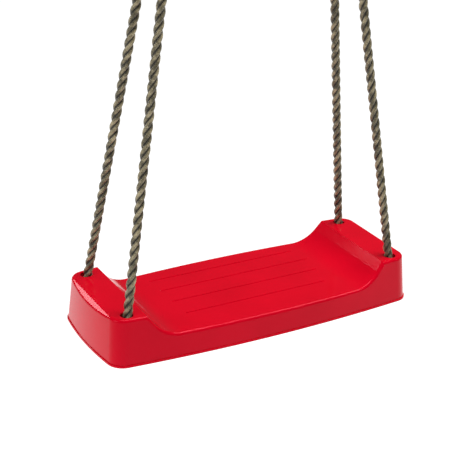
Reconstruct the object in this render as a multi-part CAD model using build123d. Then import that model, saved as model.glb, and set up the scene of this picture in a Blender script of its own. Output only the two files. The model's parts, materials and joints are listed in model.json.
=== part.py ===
from build123d import *
from math import asin, atan2, cos, hypot, pi, radians, sin, tan
import os

os.makedirs("parts", exist_ok=True)

# A board swing hung from two beam hangers. Millimetres, +Z up. X runs along the seat and the beam, and
# -Y is the front. The origin is on the beam's underside, midway between the two hangers.

# Heights of the seat above its own lower edge
pad_top = 60.0
seat_top = 31.5
wall = 3.0

# Seat outline at its lower edge and at the top of the pads
base_half_length = 219.0
base_half_depth = 87.8
top_half_length = 215.0
top_half_depth = 82.2
end_bow = 7.0
side_bow = 10.8
corner_radius = 20.0
rim_radius = 3.8
lip_out = 1.1
lip_height = 2.2

# Slopes between the pads and the sitting surface
pad_inner_x = 169.5
slope_angle = 52.0
slope_foot_radius = 44.0
slope_head_radius = 4.0

# Rolled edge along the outer end of each pad
roll_x = 208.5
roll_angle = 40.0
roll_radius = 9.0

# Raised grip lines on the sitting surface: start x, end x, y
grip_lines = [(-103.0, 112.0, 58.5), (-102.0, 118.5, 28.5), (-101.0, 113.0, -3.5), (-99.5, 104.0, -38.0)]
grip_width = 2.4
grip_height = 0.7

# Ribs under the sitting surface
rib_thickness = 2.4
rib_bottom = 5.0
long_rib_y = [-28.0, 28.0]
cross_rib_x = [-135.0, -90.0, -45.0, 0.0, 45.0, 90.0, 135.0]

# Rope holes through the pads
hole_x = 190.0
hole_y = 59.8
hole_diameter = 15.0
boss_diameter = 23.0
boss_bottom = 42.0

# Rope and its stopper knots
rope_diameter = 11.0
bend_height = 50.0
knot_diameter = 25.0
knot_height = 23.0
knot_round = 8.0
tail_length = 10.0

# Hangers
hanger_x = 124.0
saddle_height = 468.0
saddle_rope_radius = 25.0
saddle_outer_radius = 31.5
saddle_half_width = 12.0
groove_radius = 5.7
groove_flank = 30.0
pin_drop = 42.0
pin_diameter = 10.0
running_clearance = 0.05
plate_thickness = 5.0
plate_x = 46.0
plate_y = 104.0
bolt_spacing_y = 76.0
bolt_hole_diameter = 10.5
ear_thickness = 5.0
ear_half_width = 17.0
ear_gap = 24.8
pin_head_diameter = 16.0
pin_head_height = 4.0
pin_past_ear = 9.0
washer_diameter = 20.0
washer_thickness = 2.0
split_pin_diameter = 3.0

# The seat's lower edge sits this far below the beam
seat_drop = saddle_height + pin_drop


def lowered(shape):
    """Moves a shape drawn above the seat's lower edge into the beam's frame."""
    return Pos(0, 0, -seat_drop) * shape


def bowed_outline(half_length, half_depth, radius, height, grow=0.0):
    """A rounded rectangle whose four sides bow outwards, as a face at the given height."""
    x_mid = half_length + grow
    y_mid = half_depth + grow
    x_corner = x_mid - end_bow
    y_corner = y_mid - side_bow
    with BuildSketch(Plane.XY.offset(height)) as sketch:
        with BuildLine():
            ThreePointArc((x_corner, -y_corner), (x_mid, 0), (x_corner, y_corner))
            ThreePointArc((x_corner, y_corner), (0, y_mid), (-x_corner, y_corner))
            ThreePointArc((-x_corner, y_corner), (-x_mid, 0), (-x_corner, -y_corner))
            ThreePointArc((-x_corner, -y_corner), (0, -y_mid), (x_corner, -y_corner))
        make_face()
        fillet(sketch.vertices(), radius + grow)
    return sketch.sketch


def outline_at(height, grow=0.0):
    """The seat's drafted outline at a height, straight between its lower edge and the pad tops."""
    share = height / pad_top
    half_length = base_half_length + share * (top_half_length - base_half_length)
    half_depth = base_half_depth + share * (top_half_depth - base_half_depth)
    return bowed_outline(half_length, half_depth, corner_radius, height, grow)


def drafted_block(low, high, grow=0.0):
    """The seat's outer walls between two heights, grown outwards or inwards."""
    return loft([outline_at(low, grow).face(), outline_at(high, grow).face()], ruled=True)


def above_seat(lowered_by=0.0):
    """Everything above the top surface: over the rolled ends and pads, down the slopes and over the seat."""
    pad = pad_top - lowered_by
    sit = seat_top - lowered_by
    shift = lowered_by * tan(radians(slope_angle / 2))
    head_x = pad_inner_x + shift
    foot_x = head_x - (pad - sit) / tan(radians(slope_angle))
    edge_x = roll_x - lowered_by * tan(radians(roll_angle / 2))
    far = base_half_length + 10
    far_z = pad - (far - edge_x) * tan(radians(roll_angle))
    with BuildSketch(Plane.XZ) as sketch:
        with BuildLine():
            Polyline(
                (-far, far_z),
                (-edge_x, pad),
                (-head_x, pad),
                (-foot_x, sit),
                (foot_x, sit),
                (head_x, pad),
                (edge_x, pad),
                (far, far_z),
                (far, pad + 60),
                (-far, pad + 60),
                close=True,
            )
        make_face()
        corners = sketch.vertices()
        feet = [v for v in corners if abs(abs(v.X) - foot_x) < 0.01]
        heads = [v for v in corners if abs(abs(v.X) - head_x) < 0.01]
        ends = [v for v in corners if abs(abs(v.X) - edge_x) < 0.01]
        fillet(feet, slope_foot_radius + lowered_by)
        fillet(heads, slope_head_radius)
        fillet(ends, roll_radius - lowered_by)
    return extrude(sketch.sketch, amount=base_half_depth + 20, both=True)


def seat():
    """The moulded seat: an open-bottomed shell with raised pads, ribs, rope bosses and a lower lip."""
    outer = drafted_block(0, pad_top + 6) - above_seat()
    rim = [e for e in outer.edges() if e.center().Z > seat_top - 1]
    rim = [e for e in rim if not (abs(e.center().Y) < 1 and abs(e.center().X) < pad_inner_x + 20)]
    outer = fillet(rim, rim_radius)
    hollow = drafted_block(-1, pad_top + 6, -wall) - above_seat(wall)
    shell = outer - hollow

    rib_height = pad_top + 3 - rib_bottom
    rib_z = rib_bottom + rib_height / 2
    boss_height = pad_top + 3 - boss_bottom
    boss_z = boss_bottom + boss_height / 2
    pieces = []
    for y in long_rib_y:
        pieces.append(Pos(0, y, rib_z) * Box(2 * base_half_length, rib_thickness, rib_height))
    for x in cross_rib_x:
        pieces.append(Pos(x, 0, rib_z) * Box(rib_thickness, 2 * base_half_depth, rib_height))
    for side in (-1, 1):
        for end in (-1, 1):
            web = Box(2 * (base_half_length - hole_x), rib_thickness, boss_height)
            boss = Cylinder(boss_diameter / 2, boss_height)
            pieces.append(Pos(end * hole_x, side * hole_y, boss_z) * web)
            pieces.append(Pos(end * hole_x, side * hole_y, boss_z) * boss)
    ribs = pieces[0]
    for piece in pieces[1:]:
        ribs = ribs + piece
    slack = 0.5
    inside = drafted_block(-1, pad_top + 6, -wall + slack) - above_seat(wall - slack)
    body = shell + (ribs & inside)

    lip = drafted_block(0, lip_height, lip_out) - drafted_block(-1, lip_height + 1, -wall + slack)
    body = body + lip

    for start, end, y in grip_lines:
        bar = Pos((start + end) / 2, y, seat_top) * Box(end - start, grip_width, 2 * grip_height)
        bar = fillet(bar.edges().filter_by(Axis.Z), grip_width / 2 - 0.05)
        bar = chamfer(bar.edges().group_by(Axis.Z)[-1], grip_height * 0.6)
        body = body + bar

    for end in (-1, 1):
        for side in (-1, 1):
            body = body - Pos(end * hole_x, side * hole_y, 45) * Cylinder(hole_diameter / 2, 60)
    mouths = body.edges().filter_by(GeomType.CIRCLE)
    mouths = [e for e in mouths if abs(e.radius - hole_diameter / 2) < 0.01 and abs(e.center().Z - pad_top) < 0.01]
    return fillet(mouths, 1.0)


def saddle_points(side):
    """The corners of the rope's turn over one saddle, front to back, above the seat's lower edge."""
    reach = hypot(hole_y, saddle_height - bend_height)
    lean = atan2(hole_y, saddle_height - bend_height) - asin(saddle_rope_radius / reach)
    turn = (pi - 2 * lean) / 4
    corner = saddle_rope_radius / cos(turn / 2)
    angles = [pi - lean - turn / 2 - k * turn for k in range(4)]
    return [(side * hanger_x, corner * cos(a), saddle_height + corner * sin(a)) for a in angles]


def rope_route(side):
    """One rope's corner points, from the front knot up over the saddle and down to the rear knot."""
    x = side * hole_x
    front = [(x, -hole_y, boss_bottom), (x, -hole_y, bend_height)]
    rear = [(x, hole_y, bend_height), (x, hole_y, boss_bottom)]
    return front + saddle_points(side) + rear


def rope(name, side):
    """A rope's tube: straight runs and the arcs that join them, with its radii and volume printed."""
    points = [Vector(*p) for p in rope_route(side)]
    radii = []
    for before, here, after in zip(points, points[1:], points[2:]):
        turn = radians((here - before).get_angle(after - here))
        run = min((here - before).length, (after - here).length)
        radii.append(0.45 * run / tan(turn / 2))
    path = FilletPolyline(*[tuple(p) for p in points], radius=radii)
    section = Plane(origin=path @ 0, z_dir=path % 0) * Circle(rope_diameter / 2)
    tube = sweep(section, path=path)
    expected = pi * rope_diameter**2 / 4 * path.length
    print(name, "length", round(path.length, 1), "radii", [round(r, 1) for r in radii])
    print(name, "volume", round(tube.volume), "section times length", round(expected))
    return lowered(tube)


def knot(end, side):
    """A stopper knot's outer shape under its boss, with the short tail of rope below it."""
    ball = Pos(0, 0, boss_bottom - knot_height / 2) * Cylinder(knot_diameter / 2, knot_height)
    ball = fillet(ball.edges().filter_by(GeomType.CIRCLE), knot_round)
    tail_z = boss_bottom - knot_height - tail_length / 2 + 1
    tail = Pos(0, 0, tail_z) * Cylinder(rope_diameter / 2, tail_length + 2)
    return lowered(Pos(end * hole_x, side * hole_y, 0) * (ball + tail))


def saddle(side):
    """The grooved thimble that the rope turns over, running on the hanger pin."""
    flank = radians(groove_flank)
    edge = saddle_outer_radius - saddle_rope_radius
    start_x = groove_radius * cos(flank)
    start_r = saddle_rope_radius - groove_radius * sin(flank)
    end_x = start_x + (edge + groove_radius * sin(flank)) * tan(flank)
    bore = pin_diameter / 2 + running_clearance
    recess_in = 10.0
    recess_out = 16.0
    recess_depth = 4.0
    with BuildSketch(Plane.XY) as sketch:
        with BuildLine():
            Polyline(
                (-start_x, start_r),
                (-end_x, saddle_outer_radius),
                (-saddle_half_width, saddle_outer_radius),
                (-saddle_half_width, recess_out),
                (-saddle_half_width + recess_depth, recess_out),
                (-saddle_half_width + recess_depth, recess_in),
                (-saddle_half_width, recess_in),
                (-saddle_half_width, bore),
                (saddle_half_width, bore),
                (saddle_half_width, recess_in),
                (saddle_half_width - recess_depth, recess_in),
                (saddle_half_width - recess_depth, recess_out),
                (saddle_half_width, recess_out),
                (saddle_half_width, saddle_outer_radius),
                (end_x, saddle_outer_radius),
                (start_x, start_r),
            )
            ThreePointArc((start_x, start_r), (0, saddle_rope_radius - groove_radius), (-start_x, start_r))
        make_face()
    wheel = revolve(sketch.sketch, Axis.X)
    return Pos(side * hanger_x, 0, -pin_drop) * wheel


def bracket(side):
    """A hanger bracket: a plate with two bolt holes and two ears that carry the pin."""
    plate = Pos(0, 0, -plate_thickness / 2) * Box(plate_x, plate_y, plate_thickness)
    plate = fillet(plate.edges().filter_by(Axis.Z), 9.0)
    for y in (-bolt_spacing_y / 2, bolt_spacing_y / 2):
        plate = plate - Pos(0, y, -plate_thickness / 2) * Cylinder(bolt_hole_diameter / 2, 2 * plate_thickness)
    body = plate
    for ear in (-1, 1):
        x = ear * (ear_gap + ear_thickness) / 2
        drop = pin_drop - plate_thickness / 2
        cheek = Pos(x, 0, -plate_thickness / 2 - drop / 2) * Box(ear_thickness, 2 * ear_half_width, drop)
        end = Pos(x, 0, -pin_drop) * Rot(0, 90, 0) * Cylinder(ear_half_width, ear_thickness)
        body = body + cheek + end
    joins = [e for e in body.edges().filter_by(Axis.Y) if abs(e.center().Z + plate_thickness) < 0.01]
    joins = [e for e in joins if abs(abs(e.center().X) - ear_gap / 2 - ear_thickness) < 0.01]
    body = fillet(joins, 3.0)
    body = body - Pos(0, 0, -pin_drop) * Rot(0, 90, 0) * Cylinder(pin_diameter / 2 + 0.1, 2 * plate_x)
    return Pos(side * hanger_x, 0, 0) * body


def hinge_pin(side):
    """A headed pin along X through both ears, its head on the side towards the middle."""
    outside = ear_gap / 2 + ear_thickness
    length = 2 * outside + pin_past_ear
    middle = side * pin_past_ear / 2
    shank = Pos(middle, 0, 0) * Rot(0, 90, 0) * Cylinder(pin_diameter / 2, length)
    tip = shank.faces().sort_by(Axis.X)[-1 if side > 0 else 0]
    shank = chamfer(tip.edges(), 1.0)
    head = Rot(0, 90, 0) * Cylinder(pin_head_diameter / 2, pin_head_height)
    head = fillet(head.edges().filter_by(GeomType.CIRCLE), 0.8)
    head = Pos(-side * (outside + pin_head_height / 2), 0, 0) * head
    cross_x = side * (outside + washer_thickness + 0.2 + split_pin_diameter / 2)
    pin = shank + head - Pos(cross_x, 0, 0) * Cylinder(split_pin_diameter / 2 + 0.1, 3 * pin_diameter)
    return Pos(side * hanger_x, 0, -pin_drop) * pin


def pin_washer(side):
    """The washer between the outer ear and the split pin."""
    outside = ear_gap / 2 + ear_thickness
    ring = Cylinder(washer_diameter / 2, washer_thickness) - Cylinder(pin_diameter / 2 + 0.2, 5)
    return Pos(side * (hanger_x + outside + washer_thickness / 2), 0, -pin_drop) * Rot(0, 90, 0) * ring


def split_pin(side):
    """The split pin through the hinge pin's end: an eye, a shank and two legs bent apart."""
    outside = ear_gap / 2 + ear_thickness
    radius = split_pin_diameter / 2
    shank = Cylinder(radius, 18)
    eye = Pos(0, 0, 9 + 3.2) * Rot(0, 90, 0) * Torus(3.4, radius * 0.75)
    legs = []
    for way in (-1, 1):
        leg = Pos(0, 0, -3.2) * Cylinder(radius * 0.8, 6.4)
        legs.append(Pos(0, way * 0.4, -8.6) * Rot(way * 38, 0, 0) * leg)
    clip = shank + eye + legs[0] + legs[1]
    cross_x = side * (outside + washer_thickness + 0.2 + radius)
    return Pos(side * hanger_x + cross_x, 0, -pin_drop) * clip


names = {-1: "left", 1: "right"}
export_step(lowered(seat()), "parts/seat.step")
for side, word in names.items():
    export_step(rope("rope_" + word, side), "parts/rope_" + word + ".step")
    export_step(knot(side, -1), "parts/knot_front_" + word + ".step")
    export_step(knot(side, 1), "parts/knot_rear_" + word + ".step")
    export_step(saddle(side), "parts/saddle_" + word + ".step")
    export_step(bracket(side), "parts/bracket_" + word + ".step")
export_step(Compound(children=[hinge_pin(s) for s in names]), "parts/hinge_pins.step")
export_step(Compound(children=[pin_washer(s) for s in names]), "parts/pin_washers.step")
export_step(Compound(children=[split_pin(s) for s in names]), "parts/split_pins.step")
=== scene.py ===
import json
from math import asin, atan2, cos, hypot, pi, radians, sin

import bpy
import numpy as np
from mathutils import Matrix, Vector


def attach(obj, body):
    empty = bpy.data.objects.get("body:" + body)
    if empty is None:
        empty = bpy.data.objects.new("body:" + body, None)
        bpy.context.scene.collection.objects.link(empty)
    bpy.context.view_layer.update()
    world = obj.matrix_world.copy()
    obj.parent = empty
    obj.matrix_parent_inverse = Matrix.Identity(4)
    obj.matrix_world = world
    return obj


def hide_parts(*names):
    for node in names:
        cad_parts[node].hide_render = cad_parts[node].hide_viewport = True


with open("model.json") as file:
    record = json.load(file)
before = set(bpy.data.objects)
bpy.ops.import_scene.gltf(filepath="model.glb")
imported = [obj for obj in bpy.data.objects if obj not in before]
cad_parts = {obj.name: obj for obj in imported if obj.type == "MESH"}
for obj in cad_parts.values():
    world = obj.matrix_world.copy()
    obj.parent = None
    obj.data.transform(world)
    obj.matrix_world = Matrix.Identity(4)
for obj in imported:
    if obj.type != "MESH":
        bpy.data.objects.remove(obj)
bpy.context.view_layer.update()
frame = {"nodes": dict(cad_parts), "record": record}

mm = 0.001

# Places shared with the CAD source, in metres, with the origin under the beam between the hangers
place = {
    "seatDrop": 510 * mm,
    "holeX": 190 * mm,
    "holeY": 59.8 * mm,
    "bossBottom": 42 * mm,
    "bendHeight": 50 * mm,
    "hangerX": 124 * mm,
    "saddleHeight": 468 * mm,
    "saddleRopeRadius": 25 * mm,
    "ropeDiameter": 11 * mm,
}
ends = {-1: "left", 1: "right"}


camera = {
    "azimuth": -30.07,
    "elevation": 24.39,
    "roll": 2.03,
    "place": (-739.0 * mm, -1243.5 * mm, 253.7 * mm),
    "lens": 97.96,
    "sensorWidth": 36,
    "clip": (0.05, 60),
}


def makeCamera():
    # back = (sin a cos e, -cos a cos e, sin e), right = (cos a, sin a, 0), then both turn by the roll
    a = radians(camera["azimuth"])
    e = radians(camera["elevation"])
    r = radians(camera["roll"])
    back = Vector((sin(a) * cos(e), -cos(a) * cos(e), sin(e)))
    level = Vector((cos(a), sin(a), 0))
    upright = back.cross(level)
    right = cos(r) * level + sin(r) * upright
    up = -sin(r) * level + cos(r) * upright
    data = bpy.data.cameras.new("camera")
    data.lens = camera["lens"]
    data.sensor_width = camera["sensorWidth"]
    data.clip_start, data.clip_end = camera["clip"]
    made = bpy.data.objects.new("camera", data)
    bpy.context.collection.objects.link(made)
    turn = Matrix((right, up, back)).transposed().to_4x4()
    made.matrix_world = Matrix.Translation(camera["place"]) @ turn
    bpy.context.scene.camera = made
    bpy.context.scene.view_settings.view_transform = "Standard"  # keeps the red pure and the floor white


def newMaterial(name):
    material = bpy.data.materials.new(name)
    material.use_nodes = True
    material.node_tree.nodes.clear()
    return material, material.node_tree


def node(tree, kind, inputs=None, **settings):
    made = tree.nodes.new(kind)
    for key, value in settings.items():
        setattr(made, key, value)
    for key, value in (inputs or {}).items():
        if isinstance(value, bpy.types.NodeSocket):
            tree.links.new(value, made.inputs[key])
        else:
            made.inputs[key].default_value = value
    return made


def mixColour(tree, factor, a, b):
    mixed = node(tree, "ShaderNodeMix", data_type="RGBA")
    for socket, value in ((mixed.inputs[0], factor), (mixed.inputs[6], a), (mixed.inputs[7], b)):
        if isinstance(value, bpy.types.NodeSocket):
            tree.links.new(value, socket)
        else:
            socket.default_value = value
    return mixed.outputs[2]


def ramp(tree, value, low, high):
    # 0 below low and 1 above high, straight between
    return node(tree, "ShaderNodeMapRange", {0: value, 1: low, 2: high, 3: 0.0, 4: 1.0}).outputs[0]


def times(tree, value, factor):
    return node(tree, "ShaderNodeMath", {0: value, 1: factor}, operation="MULTIPLY").outputs[0]


def noise(tree, place3, scale, detail):
    made = node(tree, "ShaderNodeTexNoise", {"Vector": place3, "Scale": scale, "Detail": detail})
    return made.outputs[0]


def output(tree, shader):
    node(tree, "ShaderNodeOutputMaterial", {"Surface": shader.outputs[0]})


grainHeight = 0.2 * mm


def grainGroup():
    # a fine grain shared by the plastics and metals: noise on Object coordinates, as a value and as a normal
    group = bpy.data.node_groups.new("surfaceGrain", "ShaderNodeTree")
    for name in ("Scale", "Detail", "Strength"):
        group.interface.new_socket(name, in_out="INPUT", socket_type="NodeSocketFloat")
    group.interface.new_socket("Value", in_out="OUTPUT", socket_type="NodeSocketFloat")
    group.interface.new_socket("Normal", in_out="OUTPUT", socket_type="NodeSocketVector")
    given = node(group, "NodeGroupInput").outputs
    place3 = node(group, "ShaderNodeTexCoord").outputs["Object"]
    value = noise(group, place3, given["Scale"], given["Detail"])
    bump = node(group, "ShaderNodeBump", {
        "Height": value,
        "Strength": given["Strength"],
        "Distance": grainHeight,
    })
    node(group, "NodeGroupOutput", {"Value": value, "Normal": bump.outputs[0]})
    return group


def grain(tree, scale, detail, strength):
    values = {"Scale": scale, "Detail": detail, "Strength": strength}
    made = node(tree, "ShaderNodeGroup", values, node_tree=surfaceGrain)
    return made.outputs["Value"], made.outputs["Normal"]


seatLook = {
    "red": (0.72, 0.0012, 0.016, 1),
    "deepRed": (0.64, 0.001, 0.013, 1),
    "ior": 1.38,
    "glint": (1.0, 0.2, 0.3, 1),  # colour of reflections seen head on; they stay white at a slant
    "driftScale": 9.0,
    "driftFrom": 0.4,
    "driftTo": 0.75,
    "grain": (900.0, 2.0, 0.004),  # scale, detail, depth
    "rippleScale": 38.0,
    "rippleStrength": 0.04,
    "rippleHeight": 0.4 * mm,
    "glossiest": 0.09,
    "dullest": 0.13,
}


def seatMaterial():
    # glossy moulded plastic: a slow drift of colour, a fine grain in the gloss and a faint moulded ripple
    material, tree = newMaterial("seatPlastic")
    place3 = node(tree, "ShaderNodeTexCoord").outputs["Object"]
    drift = noise(tree, place3, seatLook["driftScale"], 3.0)
    deeper = ramp(tree, drift, seatLook["driftFrom"], seatLook["driftTo"])
    colour = mixColour(tree, deeper, seatLook["red"], seatLook["deepRed"])
    value, normal = grain(tree, *seatLook["grain"])
    bump = node(tree, "ShaderNodeBump", {
        "Height": noise(tree, place3, seatLook["rippleScale"], 1.0),
        "Strength": seatLook["rippleStrength"],
        "Distance": seatLook["rippleHeight"],
        "Normal": normal,
    })
    rough = node(tree, "ShaderNodeMapRange", {0: value, 3: seatLook["glossiest"], 4: seatLook["dullest"]})
    shader = node(tree, "ShaderNodeBsdfPrincipled", {
        "Base Color": colour,
        "Roughness": rough.outputs[0],
        "IOR": seatLook["ior"],
        "Specular Tint": seatLook["glint"],
        "Normal": bump.outputs[0],
    })
    output(tree, shader)
    return material


ropeLook = {
    "light": (0.46, 0.385, 0.225, 1),
    "dark": (0.06, 0.05, 0.018, 1),
    # painted shade: a near-black laid into the seams between the strands, where shade falls between them
    "paintedSeamShade": (0.012, 0.010, 0.005, 1),
    "roughness": 0.42,
    "sheen": 0.25,
    "yarns": 6.0,
    "yarnTwist": 420.0,
    "yarnDepth": 0.5,
    "fibreScale": 1500.0,
    "patchScale": 120.0,
    "bumpStrength": 0.7,
    "bumpHeight": 0.4 * mm,
    "paleFrom": 0.88,
    "paleTo": 1.2,
    "seamShadeFrom": 0.12,
    "seamShadeTo": 0.8,
}


def ropeMaterial():
    # the strand map holds, for each point, its place round the strand, its place along the rope
    # and how deep it lies in the gap between strands, which sets the painted shade in the seams
    material, tree = newMaterial("ropeFibre")
    strand = node(tree, "ShaderNodeAttribute", attribute_name="strand").outputs["Vector"]
    parts = node(tree, "ShaderNodeSeparateXYZ", {0: strand})
    yarn = times(tree, parts.outputs[0], ropeLook["yarns"])
    shift = times(tree, parts.outputs[1], ropeLook["yarnTwist"])
    phase = node(tree, "ShaderNodeMath", {0: yarn, 1: shift}, operation="ADD")
    wave = node(tree, "ShaderNodeMath", {0: phase.outputs[0]}, operation="SINE")
    place3 = node(tree, "ShaderNodeTexCoord").outputs["Object"]
    fibre = noise(tree, place3, ropeLook["fibreScale"], 4.0)
    patch = noise(tree, place3, ropeLook["patchScale"], 2.0)
    height = times(tree, wave.outputs[0], ropeLook["yarnDepth"])
    height = node(tree, "ShaderNodeMath", {0: height, 1: fibre}, operation="ADD")
    bump = node(tree, "ShaderNodeBump", {
        "Height": height.outputs[0],
        "Strength": ropeLook["bumpStrength"],
        "Distance": ropeLook["bumpHeight"],
    })
    tone = node(tree, "ShaderNodeMath", {0: fibre, 1: patch}, operation="ADD").outputs[0]
    pale = ramp(tree, tone, ropeLook["paleFrom"], ropeLook["paleTo"])
    # painted shade: the seams between the strands are darkened towards a near-black, standing in for the
    # shade that falls there
    seamShadeMask = ramp(tree, parts.outputs[2], ropeLook["seamShadeFrom"], ropeLook["seamShadeTo"])
    colour = mixColour(tree, pale, ropeLook["dark"], ropeLook["light"])
    colour = mixColour(tree, seamShadeMask, colour, ropeLook["paintedSeamShade"])
    shader = node(tree, "ShaderNodeBsdfPrincipled", {
        "Base Color": colour,
        "Roughness": ropeLook["roughness"],
        "Sheen Weight": ropeLook["sheen"],
        "Normal": bump.outputs[0],
    })
    output(tree, shader)
    return material


metalLook = {
    "darker": (0.72, 0.73, 0.75),
    "grain": (700.0, 5.0, 0.15),  # scale, detail, depth
    "roughnessSpread": 0.15,
}


def metalMaterial(name, colour, roughness, spangle):
    # zinc: patches of differing tone and gloss, with a fine grain
    material, tree = newMaterial(name)
    place3 = node(tree, "ShaderNodeTexCoord").outputs["Object"]
    cells = node(tree, "ShaderNodeTexVoronoi", {"Vector": place3, "Scale": spangle}).outputs["Color"]
    tone = node(tree, "ShaderNodeSeparateXYZ", {0: cells}).outputs[0]
    darker = (*(c * share for c, share in zip(colour, metalLook["darker"])), 1)
    shade = mixColour(tree, tone, colour, darker)
    value, normal = grain(tree, *metalLook["grain"])
    dullest = roughness + metalLook["roughnessSpread"]
    rough = node(tree, "ShaderNodeMapRange", {0: tone, 3: roughness, 4: dullest})
    shader = node(tree, "ShaderNodeBsdfPrincipled", {
        "Base Color": shade,
        "Metallic": 1.0,
        "Roughness": rough.outputs[0],
        "Normal": normal,
    })
    output(tree, shader)
    return material


nylonLook = {
    "black": (0.018, 0.018, 0.02, 1),
    "grey": (0.035, 0.035, 0.037, 1),
    "roughness": 0.48,
    "grain": (1400.0, 3.0, 0.25),  # scale, detail, depth
}


def nylonMaterial():
    material, tree = newMaterial("saddleNylon")
    value, normal = grain(tree, *nylonLook["grain"])
    shade = mixColour(tree, value, nylonLook["black"], nylonLook["grey"])
    shader = node(tree, "ShaderNodeBsdfPrincipled", {
        "Base Color": shade,
        "Roughness": nylonLook["roughness"],
        "Normal": normal,
    })
    output(tree, shader)
    return material


rope = {
    "lay": 39 * mm,
    "strandRadius": 2.95 * mm,
    "strandOffset": 2.85 * mm,
    "around": 54,
    "step": 0.9 * mm,
    "curveSteps": 64,
    "straightEnd": 6,  # the last point on a straight stretch is this many diameters from the saddle
}


def saddlePoints(side):
    # the corners of the turn over the saddle: a tangent from the hole's axis, then four equal turns
    rise = place["saddleHeight"] - place["bendHeight"]
    reach = hypot(place["holeY"], rise)
    lean = atan2(place["holeY"], rise) - asin(place["saddleRopeRadius"] / reach)
    turn = (pi - 2 * lean) / 4
    corner = place["saddleRopeRadius"] / cos(turn / 2)
    centre = place["saddleHeight"] - place["seatDrop"]
    angles = [pi - lean - turn / 2 - k * turn for k in range(4)]
    return [Vector((side * place["hangerX"], corner * cos(a), centre + corner * sin(a))) for a in angles]


def legPoints(side, way):
    # one leg from its knot up to the saddle, with a point near each end of its long straight stretch
    x = side * place["holeX"]
    y = way * place["holeY"]
    low = Vector((x, y, place["bossBottom"] - place["seatDrop"]))
    bend = Vector((x, y, place["bendHeight"] - place["seatDrop"]))
    top = saddlePoints(side)[0 if way < 0 else -1]
    along = (top - bend).normalized()
    near = bend + along * (bend - low).length
    high = top - along * rope["straightEnd"] * place["ropeDiameter"]
    return [low, bend, near, high]


def ropeRoute(side):
    return legPoints(side, -1) + saddlePoints(side) + legPoints(side, 1)[::-1]


def splinePoints(name, points):
    # the smooth line that a NURBS spline of order 3 draws through the route
    curve = bpy.data.curves.new(name, "CURVE")
    curve.dimensions = "3D"
    curve.resolution_u = rope["curveSteps"]
    spline = curve.splines.new("NURBS")
    spline.points.add(len(points) - 1)
    for point, place3 in zip(spline.points, points):
        point.co = (*place3, 1)
    spline.order_u = 3
    spline.use_endpoint_u = True
    holder = bpy.data.objects.new(name, curve)
    mesh = bpy.data.meshes.new_from_object(holder)
    line = np.zeros(3 * len(mesh.vertices))
    mesh.vertices.foreach_get("co", line)
    bpy.data.objects.remove(holder)
    bpy.data.meshes.remove(mesh)
    bpy.data.curves.remove(curve)
    return line.reshape(-1, 3)


def evenly(line, step):
    # the same line with its points spaced evenly along its length
    lengths = np.r_[0, np.cumsum(np.linalg.norm(np.diff(line, axis=0), axis=1))]
    count = max(2, int(lengths[-1] / step) + 1)
    places = np.linspace(0, lengths[-1], count)
    even = np.stack([np.interp(places, lengths, line[:, k]) for k in range(3)], axis=1)
    return even, places


def laidRope(name, line, reference, slim=1.0):
    # section: the outer edge of three round strands, c cos f + sqrt(r^2 - c^2 sin^2 f) from the middle,
    # where f is the angle from the nearest strand, and the section turns once in each lay
    even, along = evenly(line, rope["step"])
    tangent = np.gradient(even, axis=0)
    tangent /= np.linalg.norm(tangent, axis=1)[:, None]
    across = reference - tangent * (tangent @ reference)[:, None]
    across /= np.linalg.norm(across, axis=1)[:, None]
    beside = np.cross(tangent, across)
    count = rope["around"]
    angle = np.arange(count) * 2 * pi / count
    third = 2 * pi / 3
    nearest = (angle + third / 2) % third - third / 2
    offset = rope["strandOffset"]
    strand = rope["strandRadius"]
    radius = slim * (offset * np.cos(nearest) + np.sqrt(strand**2 - (offset * np.sin(nearest)) ** 2))
    turned = angle[None, :] + along[:, None] * 2 * pi / rope["lay"]
    ring = across[:, None, :] * np.cos(turned)[..., None] + beside[:, None, :] * np.sin(turned)[..., None]
    points = even[:, None, :] + ring * radius[None, :, None]
    rows = len(even)
    index = np.arange(rows * count).reshape(rows, count)
    right = np.roll(index, -1, axis=1)
    quads = np.stack([index[:-1], right[:-1], right[1:], index[1:]], axis=-1).reshape(-1, 4)
    vertices = np.concatenate([points.reshape(-1, 3), even[[0, -1]]])
    first = np.full(count, rows * count)
    startCap = np.stack([right[0], index[0], first], axis=-1)
    endCap = np.stack([index[-1], right[-1], first + 1], axis=-1)
    mesh = bpy.data.meshes.new(name)
    mesh.from_pydata(vertices.tolist(), [], quads.tolist() + startCap.tolist() + endCap.tolist())
    mesh.polygons.foreach_set("use_smooth", np.ones(len(mesh.polygons), bool))
    # the depth into the seam between strands; squared, it becomes the mask of the painted shade in the seams
    paintedSeamShade = np.abs(nearest) / (third / 2)
    strandMap = np.zeros((len(vertices), 3))
    strandMap[: rows * count, 0] = np.tile(nearest, rows)
    strandMap[: rows * count, 1] = np.repeat(along, count)
    strandMap[: rows * count, 2] = np.tile(paintedSeamShade**2, rows)
    stored = mesh.attributes.new("strand", "FLOAT_VECTOR", "POINT")
    stored.data.foreach_set("vector", strandMap.astype(np.float32).ravel())
    made = bpy.data.objects.new(name, mesh)
    bpy.context.collection.objects.link(made)
    return made, even


knot = {
    "coilRadius": 7.0 * mm,
    "turns": 2.0,
    "height": 23 * mm,
    "tail": 9 * mm,
    "points": 90,
    "tuck": 0.12,  # share of the coil at each end over which it closes to the middle
    "slim": 0.97,
}


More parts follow.
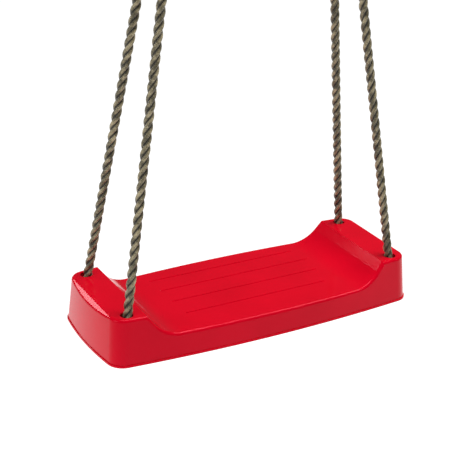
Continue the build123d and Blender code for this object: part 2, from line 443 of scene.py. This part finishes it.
def makeKnot(name, side, way):
    # the rope wraps round itself as it comes down, tucks into the middle, and leaves a short tail below
    top = place["bossBottom"] - place["seatDrop"]
    half = place["ropeDiameter"] / 2
    share = np.linspace(0, 1, knot["points"])
    angle = 2 * pi * knot["turns"] * share
    drop = half + (knot["height"] - 2 * half) * share
    edge = np.minimum(share, 1 - share)
    radius = knot["coilRadius"] * np.clip(edge / knot["tuck"], 0, 1) ** 0.5
    coil = np.stack([radius * np.cos(angle), radius * np.sin(angle), -drop], axis=1)
    tail = np.array([[0, 0, -knot["height"]], [0, 0, -knot["height"] - knot["tail"]]])
    line = np.concatenate([[[0, 0, 0]], coil, tail])
    line += np.array([side * place["holeX"], way * place["holeY"], top])
    slanted = np.array([0.15, 0.25, 1.0])
    return laidRope(name, line, slanted, knot["slim"])[0]


worldLight = 0.08
lightsAim = (0, 0, -0.45)
lights = [
    # name, place, width, height, power, colour
    ("topLight", (0.2, -0.1, 2.0), 1.5, 1.5, 45, (1.0, 1.0, 1.0)),
    ("leftLight", (-2.0, -0.3, 0.5), 1.2, 1.2, 15, (1.0, 0.99, 0.98)),
    ("edgeLight", (0.95, -0.16, 1.28), 1.1, 0.8, 17, (1.0, 1.0, 1.0)),
    ("slopeLight", (-1.03, 1.53, 0.5), 0.12, 0.03, 0.07, (1.0, 1.0, 1.0)),
    ("endLight", (-0.71, 0.98, 0.04), 0.2, 0.2, 1.0, (1.0, 1.0, 1.0)),
]


def makeLights():
    aim = Vector(lightsAim)
    for name, spot, width, height, power, colour in lights:
        data = bpy.data.lights.new(name, "AREA")
        data.shape = "RECTANGLE"
        data.size = width
        data.size_y = height
        data.energy = power
        data.color = colour
        made = bpy.data.objects.new(name, data)
        bpy.context.collection.objects.link(made)
        # each light faces the seat with its width as near to the Y axis as that allows
        facing = (Vector(spot) - aim).normalized()
        across = (Vector((0, 1, 0)) - facing * facing.y).normalized()
        turn = Matrix((across, facing.cross(across), facing)).transposed().to_4x4()
        made.matrix_world = Matrix.Translation(spot) @ turn
    world = bpy.data.worlds.new("studio")
    bpy.context.scene.world = world
    world.use_nodes = True
    background = world.node_tree.nodes["Background"]
    background.inputs[0].default_value = (1, 1, 1, 1)
    background.inputs[1].default_value = worldLight


floor = {
    "height": -1.05,
    "half": 14.0,
    "colour": (0.3, 0.3, 0.3, 1),
    "roughness": 0.9,
    "lift": 1.0,  # its own light, so that it stays white right to the back
}


def makeFloor():
    h = floor["half"]
    z = floor["height"]
    mesh = bpy.data.meshes.new("floor")
    mesh.from_pydata([(-h, -h, z), (h, -h, z), (h, h, z), (-h, h, z)], [], [(0, 1, 2, 3)])
    made = bpy.data.objects.new("floor", mesh)
    bpy.context.collection.objects.link(made)
    material, tree = newMaterial("floorPaint")
    shader = node(tree, "ShaderNodeBsdfPrincipled", {
        "Base Color": floor["colour"],
        "Roughness": floor["roughness"],
        "Emission Color": (1, 1, 1, 1),
        "Emission Strength": floor["lift"],
    })
    output(tree, shader)
    mesh.materials.append(material)


makeCamera()
print("camera made")

surfaceGrain = grainGroup()
ropeFibre = ropeMaterial()
for side, word in ends.items():
    line = splinePoints("route_" + word, ropeRoute(side))
    made, path = laidRope("laid_rope_" + word, line, np.array([1.0, 0, 0]))
    made.data.materials.append(ropeFibre)
    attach(made, "swing")
    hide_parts("rope_" + word)
    for way, end in ((-1, "front"), (1, "rear")):
        tied = makeKnot("tied_knot_" + end + "_" + word, side, way)
        tied.data.materials.append(ropeFibre)
        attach(tied, "swing")
        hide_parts("knot_" + end + "_" + word)
    length = float(np.linalg.norm(np.diff(path, axis=0), axis=1).sum())
    print("rope", word, "length", round(length, 4))
print("ropes and knots made")

looks = {
    "seat": seatMaterial(),
    "saddle": nylonMaterial(),
    "bracket": metalMaterial("bracketZinc", (0.62, 0.64, 0.65, 1), 0.38, 160.0),
    "pin": metalMaterial("pinZinc", (0.74, 0.74, 0.73, 1), 0.22, 260.0),
}
slots = {part["node"]: part["material_slot"] for part in frame["record"]["subparts"]}
for name, shown in frame["nodes"].items():
    if slots[name] in looks:
        shown.data.materials.clear()
        shown.data.materials.append(looks[slots[name]])
print("seat and hangers finished")

makeLights()
makeFloor()
print("stage made")
